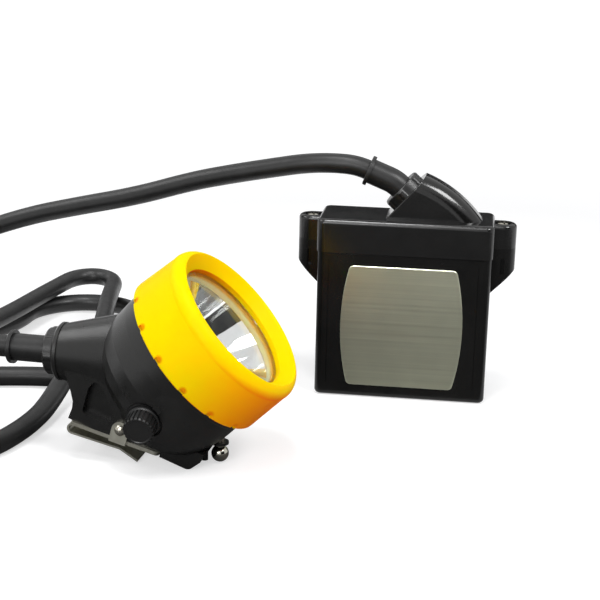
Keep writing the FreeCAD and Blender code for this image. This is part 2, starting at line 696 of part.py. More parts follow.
def make_reflector():
    z_v = reflector_flange_z[1] - (reflector_rim - 2.6) ** 2 / (4 * reflector_f)
    def wall(r):
        return z_v + r * r / (4 * reflector_f)
    inner = [(r, wall(r)) for r in (reflector_hole, 8, 11, 14, 17, 20, 22.5, reflector_rim - 2.6)]
    pts_in = [V(r, 0, z) for r, z in inner]
    pts_out = [V(r + reflector_wall * 0.9, 0, z - reflector_wall * 0.6) for r, z in inner[:-1]]
    last = V(reflector_rim - 2.6 + reflector_wall, 0, reflector_flange_z[0])
    curve_in, curve_out = Part.BSplineCurve(), Part.BSplineCurve()
    curve_in.interpolate(pts_in)
    curve_out.interpolate([last] + pts_out[::-1])
    rim_t = V(reflector_rim, 0, reflector_flange_z[1])
    rim_b = V(reflector_rim, 0, reflector_flange_z[0])
    edges = [curve_in.toShape(), Part.makeLine(pts_in[-1], rim_t), Part.makeLine(rim_t, rim_b), Part.makeLine(rim_b, last),
             curve_out.toShape(), Part.makeLine(pts_out[0], pts_in[0])]
    return Part.Face(Part.Wire(edges)).revolve(V(0, 0, 0), up, 360)


def reflector_low():
    z_v = reflector_flange_z[1] - (reflector_rim - 2.6) ** 2 / (4 * reflector_f)
    return z_v + reflector_hole ** 2 / (4 * reflector_f) - reflector_wall * 0.6


def light_stack():
    # heights of the light engine's layers, from the reflector's lower edge down
    top = reflector_low()
    board = top - board_t
    sink = board - sink_plate
    fins = sink - sink_fin
    return top, board, sink, fins


def make_emitter():
    top = light_stack()[0]
    base = box(-2.5, 2.5, -2.5, 2.5, top, top + 0.9)
    dome = Part.makeSphere(1.9, V(0, 0, top + 0.9)).common(box(-3, 3, -3, 3, top + 0.9, top + 5))
    return one(base.fuse(dome))


def make_led_board():
    top, board, sink, fins = light_stack()
    shape = rod(board_r, V(0, 0, board), up, board_t)
    for a in (0, 120, 240):
        hole = rod(1.2, V(board_r - 2.2, 0, board - 1), up, 6)
        hole.rotate(V(0, 0, 0), up, a)
        shape = shape.cut(hole)
    return one(shape)


def make_heat_sink():
    top, board, sink, fins = light_stack()
    shape = rod(sink_r, V(0, 0, sink), up, sink_plate)
    for i in range(-3, 4):
        fin = box(-20, 20, i * 3.6 - 0.7, i * 3.6 + 0.7, fins, sink + 0.2).common(rod(sink_r, V(0, 0, fins), up, 20))
        shape = shape.fuse(fin)
    # rests on the step of the bowl
    ring = tube(well_r + 2.4, sink_r - 2, V(0, 0, max(cavity_floor, sink)), up, 1.2)
    room = switch_side / 2 + 0.4
    return one(shape.fuse(ring).cut(turned_box(room, room, 10.0, boss_n)))


def make_driver_board():
    top, board, sink, fins = light_stack()
    shape = rod(driver_r, V(0, 0, fins - driver_t), up, driver_t)
    for x, y, w, d, h in ((-5, 4, 5, 5, 2.0), (4, -5, 4, 3, 1.4), (-3, -7, 3, 3, 1.2)):
        shape = shape.fuse(box(x - w / 2, x + w / 2, y - d / 2, y + d / 2, fins - driver_t - h, fins - driver_t))
    return one(shape)


def make_knob():
    at, out = knob_frame()[:2]
    n0 = boss_n + collar_t + knob_gap
    body = revolve([(shaft_r, 0), (knob_r + 0.5, 0), (knob_r + 0.5, 0.9), (knob_r, 1.2), (knob_r, knob_h - 0.5),
                    (knob_r - 0.4, knob_h), (knob_r - 1.0, knob_h), (knob_r - 1.3, knob_h - 0.25), (0, knob_h - 0.25),
                    (0, knob_h - 2.0), (shaft_r, knob_h - 2.0)])
    for i in range(knob_ridges):
        groove = box(knob_r - 0.5, knob_r + 1, -0.35, 0.35, 1.6, knob_h + 1)
        groove.rotate(V(0, 0, 0), up, 360.0 / knob_ridges * i)
        body = body.cut(groove)
    body.Placement = FreeCAD.Placement(at + out * n0, FreeCAD.Rotation(up, out))
    return one(body)


def make_collar():
    at, out = knob_frame()[:2]
    return tube(collar_r, shaft_r + collar_play, at + out * boss_n, out, collar_t)


def make_shaft():
    at, out = knob_frame()[:2]
    n0 = boss_n + collar_t + knob_gap
    low = boss_n - 2.8 + 0.3
    return rod(shaft_r, at + out * low, out, n0 + knob_h - 2.0 - low)


def make_switch_seal():
    at, out = knob_frame()[:2]
    return tube(shaft_r + 1.6, shaft_r + shaft_play, at + out * (boss_n - 1.3), out, 1.3)


def make_switch():
    at, out, across = knob_frame()[:3]
    s = switch_side / 2
    top = boss_n - 2.8
    body = turned_box(s, s, top - switch_h, top)
    pins = []
    for a in (-2.5, 0, 2.5):
        pins.append(rod(0.5, at + across * a + out * (top - switch_h - 1.5), out, 1.7))
    return one(fuse([body] + pins))


def make_clip():
    # a flat plate with a round tab turned up on each side
    body = flat_prism([(clip_left, -clip_t), (clip_right, -clip_t), (clip_right, 0), (clip_left, 0)], -clip_half, clip_half)
    corners = edges_at(body, lambda e: e.Length < clip_t + 0.1)
    body = body.makeFillet(clip_corner, corners)
    for s in (-1, 1):
        n0, n1 = sorted((s * (clip_half - 0.001), s * (clip_half + clip_t)))
        tab = flat_prism([(tab_t - tab_r, -clip_t), (tab_t + tab_r, -clip_t), (tab_t + tab_r, tab_rise), (tab_t - tab_r, tab_rise)],
                         n0, n1)
        tab = tab.fuse(rod(tab_r, tw(tab_t, tab_rise, n0), near, n1 - n0))
        tab = tab.cut(rod(1.3, tw(tab_t, tab_rise, n0 - 2), near, 6))
        body = body.fuse(tab)
    return one(body)


def make_tongue():
    # laps against the plate's underside, folds round at the left and comes back below, flared at its tip
    def pt(t, w):
        return tw(t, w, -tongue_half)
    top = -clip_t
    r_out, r_in = tongue_fold_r + tongue_t / 2, tongue_fold_r - tongue_t / 2
    left = clip_left + 1.0
    low = top - 2 * r_out
    bend_t, bend_w = tongue_bend
    tip_x, tip_w = tongue_tip
    points = [pt(left + tongue_lap, top - tongue_t), pt(left + tongue_lap, top), pt(left, top)]
    edges = [Part.makeLine(points[0], points[1]), Part.makeLine(points[1], points[2]),
             Part.Arc(pt(left, top), pt(left - r_out, top - r_out), pt(left, low)).toShape(),
             Part.makeLine(pt(left, low), pt(bend_t, bend_w - tongue_t)),
             Part.makeLine(pt(bend_t, bend_w - tongue_t), pt(tip_x - 0.2, tip_w - tongue_t)),
             Part.makeLine(pt(tip_x - 0.2, tip_w - tongue_t), pt(tip_x, tip_w)),
             Part.makeLine(pt(tip_x, tip_w), pt(bend_t + 0.1, bend_w)),
             Part.makeLine(pt(bend_t + 0.1, bend_w), pt(left, low + tongue_t)),
             Part.Arc(pt(left, low + tongue_t), pt(left - r_in, top - r_out), pt(left, top - tongue_t)).toShape(),
             Part.makeLine(pt(left, top - tongue_t), points[0])]
    return Part.Face(Part.Wire(edges)).extrude(near * (2 * tongue_half))


def make_rivets():
    rivets = []
    for s in (-1, 1):
        face = clip_half + clip_t
        dome_r = (rivet_r ** 2 + rivet_t ** 2) / (2 * rivet_t)
        head = Part.makeSphere(dome_r, V(0, 0, rivet_t - dome_r)).common(box(-5, 5, -5, 5, 0, 5))
        body = head.fuse(rod(1.25, V(0, 0, -6), up, 6.2))
        body.Placement = FreeCAD.Placement(tw(tab_t, tab_rise, s * face), FreeCAD.Rotation(up, near * s))
        rivets.append(one(body))
    return group(rivets)


def stud_frame():
    a = radians(head_pitch)
    return V(stud_zx[1], 0, stud_zx[0]), V(math.cos(a), 0, -math.sin(a))


def make_stud():
    at, out = stud_frame()
    ball = Part.makeSphere(stud_ball_r, at + out * 4.6)
    low = stud_nut_at + stud_nut_t + 0.8
    neck = rod(stud_stem_r, at - out * low, out, low + 2.4)
    return one(ball.fuse(neck))


def make_stud_washer():
    at, out = stud_frame()
    return tube(stud_washer_r, stud_stem_r, at - out * stud_seat, out, stud_washer_t)


def make_stud_nut():
    at, out = stud_frame()
    return tube(stud_nut_r, stud_stem_r, at - out * (stud_nut_at + stud_nut_t), out, stud_nut_t)


# Head's frame to the world

def head_placement():
    pitch = FreeCAD.Rotation(V(0, 1, 0), 90 - head_pitch)
    # the beam (z) goes to the upper right, the base side (x) to the lower right
    turn = FreeCAD.Rotation(up, head_yaw)
    return FreeCAD.Placement(V(*head_at), turn.multiply(pitch))


def place(shape, placement):
    moved = shape.copy()
    moved.Placement = placement.multiply(moved.Placement)
    return moved


def fitting_placement(at, out, toward):
    # z of the fitting along out, its x towards the side the boot drops to
    y = out.cross(toward).normalize()
    x = y.cross(out).normalize()
    m = FreeCAD.Matrix(x.x, y.x, out.x, at.x, x.y, y.y, out.y, at.y, x.z, y.z, out.z, at.z, 0, 0, 0, 1)
    return FreeCAD.Placement(m)


# Cable: straight runs and tangent arcs through these points

def cord_solid(points, label):
    edges, turns = [], []
    last = points[0]
    for i in range(1, len(points) - 1):
        a, b, c = points[i - 1], points[i], points[i + 1]
        u, w = (b - a), (c - b)
        run = min(u.Length, w.Length)
        u, w = V(u).normalize(), V(w).normalize()
        half = math.acos(max(-1.0, min(1.0, u.dot(w)))) / 2
        back = 0.45 * run
        r = back / math.tan(half)
        turns.append((round(r, 1), round(2 * half * 180 / math.pi)))
        p, q = b - u * back, b + w * back
        inward = (w - u).normalize()
        centre_gap = r / math.cos(half)
        middle = b + inward * (centre_gap - r)
        edges.append(Part.LineSegment(last, p).toShape())
        edges.append(Part.Arc(p, middle, q).toShape())
        last = q
    edges.append(Part.LineSegment(last, points[-1]).toShape())
    wire = Part.Wire(edges)
    start = (points[1] - points[0]).normalize()
    disc = Part.Face(Part.Wire(Part.makeCircle(cord_r, points[0], start)))
    solid = wire.makePipe(disc)
    if isinstance(solid, Part.Compound) or not solid.Solids:
        solid = Part.Solid(solid) if solid.ShapeType == "Shell" else solid
    expect = math.pi * cord_r ** 2 * wire.Length
    print(label, "length", round(wire.Length, 1), "volume ratio", round(solid.Volume / expect, 4))
    print(label, "radius, turn:", turns)
    return solid, wire.Length


def export(name, shape):
    nodes[name] = shape
    shape.exportStep("parts/" + name + ".step")


def main():
    os.makedirs("parts", exist_ok=True)
    mouth, out = turret_frame()
    pack_fit = fitting_placement(mouth, out, V(-1, 0, -1).normalize())
    head = head_placement()
    neck_at, neck_out = neck_frame()
    head_fit = head.multiply(fitting_placement(neck_at, neck_out, V(-1, 0, 1)))

    export("battery_case", make_case())
    export("battery_lid", make_lid())
    export("lid_gasket", make_gasket())
    export("lid_screws", group([make_screw(-1), make_screw(1)]))
    export("lid_inserts", group([make_insert(-1), make_insert(1)]))
    export("name_plate", make_plate())
    export("battery_cells", make_cells())
    export("cell_pad", make_cell_pad())
    export("cell_strip", make_strips())
    export("protection_board", make_pack_board())
    export("pack_gland_nut", place(make_gland(), pack_fit))
    export("pack_boot", place(make_boot(boot_bend), pack_fit))
    export("pack_grommet", place(make_grommet(), pack_fit))

    export("head_housing", place(make_housing(), head))
    export("bezel_ring", place(make_bezel(), head))
    export("lens", place(make_lens(), head))
    export("lens_seal", place(make_lens_seal(), head))
    export("reflector", place(make_reflector(), head))
    export("led_emitter", place(make_emitter(), head))
    export("led_board", place(make_led_board(), head))
    export("heat_sink", place(make_heat_sink(), head))
    export("driver_board", place(make_driver_board(), head))
    export("switch_knob", place(make_knob(), head))
    export("switch_collar", place(make_collar(), head))
    export("switch_shaft", place(make_shaft(), head))
    export("switch_seal", place(make_switch_seal(), head))
    export("rotary_switch", place(make_switch(), head))
    export("cap_clip", place(make_clip(), head))
    export("clip_tongue", place(make_tongue(), head))
    export("clip_rivets", place(make_rivets(), head))
    export("charge_stud", place(make_stud(), head))
    export("stud_washer", place(make_stud_washer(), head))
    export("stud_nut", place(make_stud_nut(), head))
    export("head_gland_nut", place(make_gland(), head_fit))
    export("head_boot", place(make_boot(0), head_fit))
    export("head_grommet", place(make_grommet(), head_fit))

    ends = []
    for label, fit, bend in (("pack", pack_fit, boot_bend), ("head", head_fit, 0)):
        straight, end, direction = boot_path(bend)
        ends.append((fit.multVec(end), fit.Rotation.multVec(direction)))
        print(label, "boot ends at", [round(c, 3) for c in ends[-1][0]], "towards", [round(c, 4) for c in ends[-1][1]])
    route = [ends[0][0], ends[0][0] + ends[0][1] * cord_lead[0]] + [V(*p) for p in cord_route]
    route += [ends[1][0] + ends[1][1] * cord_lead[1], ends[1][0]]
    cable, length = cord_solid(route, "cable")
    export("cable", cable)

    at, out_dir = knob_frame()[:2]
    print("knob axis", [round(c, 4) for c in head.multVec(at + out_dir * boss_n)], [round(c, 6) for c in head.Rotation.multVec(out_dir)])
    low = min(s.BoundBox.ZMin for n, s in nodes.items())
    for name, shape in nodes.items():
        b = shape.BoundBox
        print("%-18s solids %d valid %s  vol %9.1f  x %.1f..%.1f y %.1f..%.1f z %.2f..%.2f" % (
            name, len(shape.Solids), shape.isValid(), shape.Volume, b.XMin, b.XMax, b.YMin, b.YMax, b.ZMin, b.ZMax))
    print("lowest point", round(low, 3))


main()
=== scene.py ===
import bpy, math
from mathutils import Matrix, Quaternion, Vector


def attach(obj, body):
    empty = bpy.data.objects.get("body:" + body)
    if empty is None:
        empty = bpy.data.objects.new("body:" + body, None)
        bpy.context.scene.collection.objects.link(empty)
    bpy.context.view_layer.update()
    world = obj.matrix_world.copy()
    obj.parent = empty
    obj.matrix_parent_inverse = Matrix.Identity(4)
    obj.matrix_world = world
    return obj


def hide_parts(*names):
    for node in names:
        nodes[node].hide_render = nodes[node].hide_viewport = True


# Miner's cap lamp: black battery pack, headpiece with a yellow bezel, one rubber cable between them.
# Metres, +Z up, origin under the middle of the battery pack, whose plate faces -Y.

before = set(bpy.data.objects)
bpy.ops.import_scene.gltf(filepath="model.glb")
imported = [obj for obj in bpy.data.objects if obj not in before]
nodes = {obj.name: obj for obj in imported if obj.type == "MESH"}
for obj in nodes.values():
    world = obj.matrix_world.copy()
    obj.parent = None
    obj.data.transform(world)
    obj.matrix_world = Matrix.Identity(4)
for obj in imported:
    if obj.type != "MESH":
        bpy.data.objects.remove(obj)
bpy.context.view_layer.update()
print("frame loaded,", len(nodes), "nodes")


def newMaterial(name):
    mat = bpy.data.materials.new(name)
    mat.use_nodes = True
    tree = mat.node_tree
    return mat, tree, tree.nodes["Principled BSDF"]


def addObject(name, data):
    thing = bpy.data.objects.new(name, data)
    bpy.context.scene.collection.objects.link(thing)
    return thing


def addNode(tree, kind, **values):
    # a value goes to the input of that name, or else to the node's own setting
    node = tree.nodes.new(kind)
    for key, value in values.items():
        if key in node.inputs:
            node.inputs[key].default_value = value
        else:
            setattr(node, key, value)
    return node


def setInputs(node, values):
    for key, value in values.items():
        node.inputs[key].default_value = value


def feed(tree, socket, value):
    # value is another node's output, or else a constant
    if isinstance(value, bpy.types.NodeSocket):
        tree.links.new(value, socket)
    else:
        socket.default_value = value


def opaque(color):
    return (*color, 1)


def place(tree, stretch=(1, 1, 1)):
    # object coordinates in metres, stretched
    coord = addNode(tree, "ShaderNodeTexCoord")
    mapping = addNode(tree, "ShaderNodeMapping", Scale=stretch)
    tree.links.new(coord.outputs["Object"], mapping.inputs["Vector"])
    return mapping.outputs["Vector"]


def noise(tree, vector, scale, detail, rough):
    node = addNode(tree, "ShaderNodeTexNoise", Scale=scale, Detail=detail, Roughness=rough)
    tree.links.new(vector, node.inputs["Vector"])
    return node.outputs["Fac"]


def mapRange(tree, value, low, high, inLow=0.3, inHigh=0.7):
    # noise lies mostly between 0.3 and 0.7
    node = addNode(tree, "ShaderNodeMapRange")
    setInputs(node, {"From Min": inLow, "From Max": inHigh, "To Min": low, "To Max": high})
    tree.links.new(value, node.inputs["Value"])
    return node.outputs["Result"]


def mixColors(tree, fac, first, second):
    node = addNode(tree, "ShaderNodeMix", data_type="RGBA")
    for key, value in (("Factor", fac), ("A", first), ("B", second)):
        feed(tree, node.inputs[key], value)
    return node.outputs["Result"]


def calculate(tree, kind, *values):
    node = addNode(tree, "ShaderNodeMath", operation=kind)
    for socket, value in zip(node.inputs, values):
        feed(tree, socket, value)
    return node.outputs[0]


def bump(tree, height, strength, distance, before=None):
    node = addNode(tree, "ShaderNodeBump", Strength=strength, Distance=distance)
    tree.links.new(height, node.inputs["Height"])
    if before is not None:
        tree.links.new(before, node.inputs["Normal"])
    return node.outputs["Normal"]


def paint(tree, shader, look, colorBy, roughBy):
    # colour from dark to light, and roughness from its low end to its high end
    fac = mapRange(tree, colorBy, 0, 1)
    color = mixColors(tree, fac, opaque(look["dark"]), opaque(look["light"]))
    tree.links.new(color, shader.inputs["Base Color"])
    tree.links.new(mapRange(tree, roughBy, *look["rough"]), shader.inputs["Roughness"])


def tintOver(tree, shader, fac, color):
    # lays color over what feeds the base colour, by fac
    base = shader.inputs["Base Color"]
    under = base.links[0].from_socket
    tree.links.new(mixColors(tree, fac, under, opaque(color)), base)


def letThrough(shader, look):
    # light scatters inside: how much of it, how far for red, green and blue, and over what depth
    setInputs(shader, {"Subsurface Weight": look["through"], "Subsurface Radius": look["reach"],
                       "Subsurface Scale": look["depth"]})


# detail and roughness of each noise, and how much finer the wear is than the colour's patches
texture = {"patches": (4.0, 0.6), "wear": (5.0, 0.65), "wearFiner": 2.3,
           "grain": (2.0, 0.5), "waves": (1.0, 0.5)}


def surface(name, look):
    # dark, light: the ends of the colour's slow change, and patch is its scale; rough: lowest and highest;
    # grain, waves: scale, strength and depth of the fine and of the slow bump
    mat, tree, shader = newMaterial(name)
    patch = look.get("patch", 60.0)
    patches = noise(tree, place(tree), patch, *texture["patches"])
    wear = noise(tree, place(tree), patch * texture["wearFiner"], *texture["wear"])
    paint(tree, shader, look, patches, wear)
    scale, strength, depth = look["grain"]
    grain = noise(tree, place(tree, look.get("grainStretch", (1, 1, 1))), scale, *texture["grain"])
    normal = bump(tree, grain, strength, depth)
    if "waves" in look:
        scale, strength, depth = look["waves"]
        waves = noise(tree, place(tree), scale, *texture["waves"])
        normal = bump(tree, waves, strength, depth, normal)
    tree.links.new(normal, shader.inputs["Normal"])
    setInputs(shader, {"Metallic": look.get("metal", 0.0), "Specular IOR Level": look.get("shine", 0.5)})
    return mat, tree, shader


plainFinishes = {
    # moulded pack: glossy black, faint handling marks and the slow waves of a moulding
    "packBlack": {
        "dark": (0.0035, 0.0035, 0.0034), "light": (0.0065, 0.0063, 0.006), "rough": (0.18, 0.28),
        "grain": (900.0, 0.05, 0.0004), "waves": (40.0, 0.04, 0.002), "shine": 0.22},
    "lidBlack": {
        "dark": (0.004, 0.004, 0.004), "light": (0.007, 0.0069, 0.0066), "rough": (0.13, 0.2),
        "grain": (1100.0, 0.06, 0.0004), "waves": (40.0, 0.04, 0.002), "shine": 0.44},
    # headpiece, nuts and knob: satin nylon with a fine spark grain
    "housingBlack": {
        "dark": (0.0055, 0.0055, 0.0052), "light": (0.0105, 0.0103, 0.0098), "rough": (0.26, 0.35),
        "grain": (2600.0, 0.14, 0.0003), "shine": 0.4},
    "nylonBlack": {
        "dark": (0.005, 0.005, 0.005), "light": (0.009, 0.0088, 0.0086), "rough": (0.28, 0.38),
        "grain": (2200.0, 0.15, 0.0003)},
    # rubbers: the cable's satin jacket and the dull seals
    "cableBlack": {
        "dark": (0.0075, 0.0075, 0.0075), "light": (0.0135, 0.0135, 0.0134), "rough": (0.32, 0.44),
        "grain": (1400.0, 0.12, 0.0003), "waves": (220.0, 0.05, 0.0008), "shine": 0.36, "patch": 90.0},
    "sealRubber": {
        "dark": (0.02, 0.02, 0.02), "light": (0.035, 0.035, 0.035), "rough": (0.6, 0.75),
        "grain": (1500.0, 0.2, 0.0003)},
    # bent strip steel with a light pickled film, its grain drawn out along X
    "clipSteel": {
        "dark": (0.44, 0.43, 0.36), "light": (0.64, 0.63, 0.54), "rough": (0.3, 0.44),
        "grain": (700.0, 0.12, 0.0002), "grainStretch": (0.08, 1, 1), "metal": 1.0},
    "screwSteel": {
        "dark": (0.4, 0.38, 0.32), "light": (0.55, 0.53, 0.46), "rough": (0.16, 0.28),
        "grain": (600.0, 0.08, 0.0002), "metal": 1.0},
    "polishedNickel": {
        "dark": (0.42, 0.41, 0.35), "light": (0.52, 0.51, 0.45), "rough": (0.1, 0.18),
        "grain": (500.0, 0.04, 0.0002), "metal": 1.0},
    "turnedBrass": {
        "dark": (0.5, 0.36, 0.12), "light": (0.65, 0.48, 0.18), "rough": (0.25, 0.38),
        "grain": (700.0, 0.1, 0.0002), "metal": 1.0},
    "castAluminium": {
        "dark": (0.55, 0.55, 0.56), "light": (0.68, 0.68, 0.69), "rough": (0.3, 0.45),
        "grain": (900.0, 0.2, 0.0003), "metal": 1.0},
    "cellWrap": {
        "dark": (0.02, 0.1, 0.3), "light": (0.03, 0.15, 0.4), "rough": (0.25, 0.35),
        "grain": (500.0, 0.05, 0.0002)},
    "boardGreen": {
        "dark": (0.01, 0.06, 0.02), "light": (0.015, 0.1, 0.035), "rough": (0.25, 0.35),
        "grain": (1800.0, 0.1, 0.0002)},
    "phosphor": {
        "dark": (0.75, 0.5, 0.05), "light": (0.85, 0.62, 0.1), "rough": (0.4, 0.5),
        "grain": (2500.0, 0.1, 0.0001)},
}

# the headpiece's own axes: where the beam starts, along it, and the two across it
headAxes = {"middle": (-0.0716, -0.098, 0.04383), "beam": (0.749, -0.0576, 0.66),
            "down": (0.6581, -0.0506, -0.7513), "away": (0.0767, 0.9971, 0.0)}


def alongHead(tree, *axes):
    # how far a point lies from the middle along each of the named axes
    offset = addNode(tree, "ShaderNodeVectorMath", operation="SUBTRACT")
    offset.inputs[1].default_value = headAxes["middle"]
    tree.links.new(place(tree), offset.inputs[0])
    found = []
    for axis in axes:
        part = addNode(tree, "ShaderNodeVectorMath", operation="DOT_PRODUCT")
        part.inputs[1].default_value = headAxes[axis]
        tree.links.new(offset.outputs[0], part.inputs[0])
        found.append(part.outputs["Value"])
    return found


# thick amber-yellow plastic that lets light through, with painted shade: deeper orange where it faces down,
# and round the notches of its rear rim
bezel = {
    "dark": (1.0, 0.575, 0.0), "light": (1.0, 0.615, 0.0), "rough": (0.4, 0.5),
    "grain": (1200.0, 0.06, 0.0003), "patch": 25.0, "shine": 0.03,
    # under: the painted shade's orange, laid on where the normal points down
    "under": (1.0, 0.15, 0.0), "shadeFrom": -0.08, "shadeTo": -0.75,      # heights of the normal
    "through": 0.5, "reach": (1.0, 0.3, 0.03), "depth": 0.009,
    "notches": 15, "firstNotch": 14.5, "radius": 0.0341,      # degrees, metres
    # notch marks: painted shade, darker orange round each notch
    "notchShade": (0.8, 0.15, 0.0), "notchShadeMost": 0.85, "notchShadeFrom": 0.0008, "notchShadeTo": 0.0019}


def deepenUnder(tree, shader):
    # painted shade: orange laid over the faces that point down, by the height of the normal
    facing = addNode(tree, "ShaderNodeNewGeometry")
    parts = addNode(tree, "ShaderNodeSeparateXYZ")
    tree.links.new(facing.outputs["Normal"], parts.inputs[0])
    fac = mapRange(tree, parts.outputs["Z"], 0, 1, bezel["shadeFrom"], bezel["shadeTo"])
    tintOver(tree, shader, fac, bezel["under"])


def stainNotches(tree, shader):
    # painted shade round each notch, by the distance from the nearest notch, round the rim and along the
    # beam, where all of them are at 0
    down, away, beam = alongHead(tree, "down", "away", "beam")
    perRadian = bezel["notches"] / math.tau
    halfPitch = 0.5      # puts each notch in the middle of its own pitch
    start = halfPitch - math.radians(bezel["firstNotch"]) * perRadian
    count = calculate(tree, "MULTIPLY_ADD", calculate(tree, "ARCTAN2", away, down), perRadian, start)
    pitches = calculate(tree, "SUBTRACT", calculate(tree, "FRACT", count), halfPitch)
    aside = calculate(tree, "MULTIPLY", pitches, bezel["radius"] / perRadian)
    squares = [calculate(tree, "MULTIPLY", value, value) for value in (aside, beam)]
    distance = calculate(tree, "SQRT", calculate(tree, "ADD", *squares))
    fac = mapRange(tree, distance, bezel["notchShadeMost"], 0, bezel["notchShadeFrom"], bezel["notchShadeTo"])
    tintOver(tree, shader, fac, bezel["notchShade"])


def makeBezelYellow():
    mat, tree, shader = surface("bezelYellow", bezel)
    deepenUnder(tree, shader)
    stainNotches(tree, shader)
    letThrough(shader, bezel)
    return mat


# rolled stainless label plate, left bare: long fine scratches along it, and faint clouds
# scratches, clouds: scale, detail and roughness; groove: strength and depth
plate = {
    "dark": (0.6, 0.615, 0.475), "light": (0.7, 0.715, 0.55), "rough": (0.32, 0.42),
    "stretch": (4, 60, 900), "scratches": (1.0, 4.0, 0.7), "groove": (0.1, 0.0002),
    "clouds": (45.0, 3.0, 0.5), "cloudy": 0.15, "brushed": 0.5}


def makePlateSteel():
    mat, tree, shader = newMaterial("plateSteel")
    scratches = noise(tree, place(tree, plate["stretch"]), *plate["scratches"])
    clouds = noise(tree, place(tree), *plate["clouds"])
    clouds = mapRange(tree, clouds, -plate["cloudy"], plate["cloudy"])
    paint(tree, shader, plate, calculate(tree, "ADD", scratches, clouds), scratches)
    tree.links.new(bump(tree, scratches, *plate["groove"]), shader.inputs["Normal"])
    setInputs(shader, {"Metallic": 1.0, "Anisotropic": plate["brushed"]})
    return mat


# vacuum-plated reflector: a mirror with faint ripples
# ripple, swell: scale, detail and roughness; lift: strength and depth of the swell
mirror = {
    "dark": (0.9, 0.9, 0.88), "light": (0.96, 0.96, 0.94), "rough": (0.03, 0.06),
    "ripple": (260.0, 2.0, 0.5), "swell": (90.0, 1.0, 0.5), "lift": (0.05, 0.0006)}


def makeReflectorMirror():
    mat, tree, shader = newMaterial("reflectorMirror")
    ripple = noise(tree, place(tree), *mirror["ripple"])
    paint(tree, shader, mirror, ripple, ripple)
    swell = noise(tree, place(tree), *mirror["swell"])
    tree.links.new(bump(tree, swell, *mirror["lift"]), shader.inputs["Normal"])
    shader.inputs["Metallic"].default_value = 1.0
    return mat


# polycarbonate lens with a breath of haze
lens = {"tint": (0.98, 0.99, 1.0), "sheer": (0.4, 0.4, 0.4), "index": 1.49,
        "haze": (80.0, 3.0, 0.5), "hazeMost": 0.02}


def makeLensClear():
    mat, tree, shader = newMaterial("lensClear")
    haze = noise(tree, place(tree), *lens["haze"])
    tree.links.new(mapRange(tree, haze, 0.0, lens["hazeMost"]), shader.inputs["Roughness"])
    setInputs(shader, {"Base Color": opaque(lens["tint"]), "Specular Tint": opaque(lens["sheer"]),
                       "Transmission Weight": 1.0, "IOR": lens["index"]})
    return mat


# pale silicone ring that seals the lens, with painted amber shade at its edge towards the lens
ring = {
    "dark": (1.0, 0.84, 0.55), "light": (1.0, 0.9, 0.64), "rough": (0.3, 0.42),
    "grain": (900.0, 0.05, 0.0002), "shine": 0.3,
    "through": 0.6, "reach": (1.0, 0.6, 0.4), "depth": 0.004,
    "amberShade": (1.0, 0.5, 0.1), "amberShadeFrom": 0.0112, "amberShadeTo": 0.0122}      # metres along the beam


def makeRingSilicone():
    mat, tree, shader = surface("ringSilicone", ring)
    height = alongHead(tree, "beam")[0]
    # painted amber shade, laid on by the height along the beam
    fac = mapRange(tree, height, 0, 1, ring["amberShadeFrom"], ring["amberShadeTo"])
    tintOver(tree, shader, fac, ring["amberShade"])
    letThrough(shader, ring)
    return mat


finishes = {name: surface(name, look)[0] for name, look in plainFinishes.items()}
finishes["bezelYellow"] = makeBezelYellow()
finishes["plateSteel"] = makePlateSteel()
finishes["reflectorMirror"] = makeReflectorMirror()
finishes["lensClear"] = makeLensClear()
finishes["ringSilicone"] = makeRingSilicone()

wearing = {
    "packBlack": ["battery_case"],
    "lidBlack": ["battery_lid"],
    "housingBlack": ["head_housing"],
    "nylonBlack": ["pack_gland_nut", "head_gland_nut", "switch_knob", "switch_collar", "stud_washer",
                   "rotary_switch"],
    "cableBlack": ["pack_boot", "head_boot"],
    "sealRubber": ["lid_gasket", "cell_pad", "pack_grommet", "head_grommet", "switch_seal"],
    "clipSteel": ["cap_clip", "clip_tongue"],
    "screwSteel": ["lid_screws", "clip_rivets", "switch_shaft"],
    "polishedNickel": ["charge_stud", "cell_strip"],
    "turnedBrass": ["lid_inserts", "stud_nut"],
    "castAluminium": ["heat_sink"],
    "cellWrap": ["battery_cells"],
    "boardGreen": ["protection_board", "led_board", "driver_board"],
    "phosphor": ["led_emitter"],
    "bezelYellow": ["bezel_ring"],
    "plateSteel": ["name_plate"],
    "reflectorMirror": ["reflector"],
    "lensClear": ["lens"],
    "ringSilicone": ["lens_seal"],
}
for finish, names in wearing.items():
    for name in names:
        slots = nodes[name].data.materials
        slots.clear()
        slots.append(finishes[finish])
print("materials on", sum(len(names) for names in wearing.values()), "nodes")


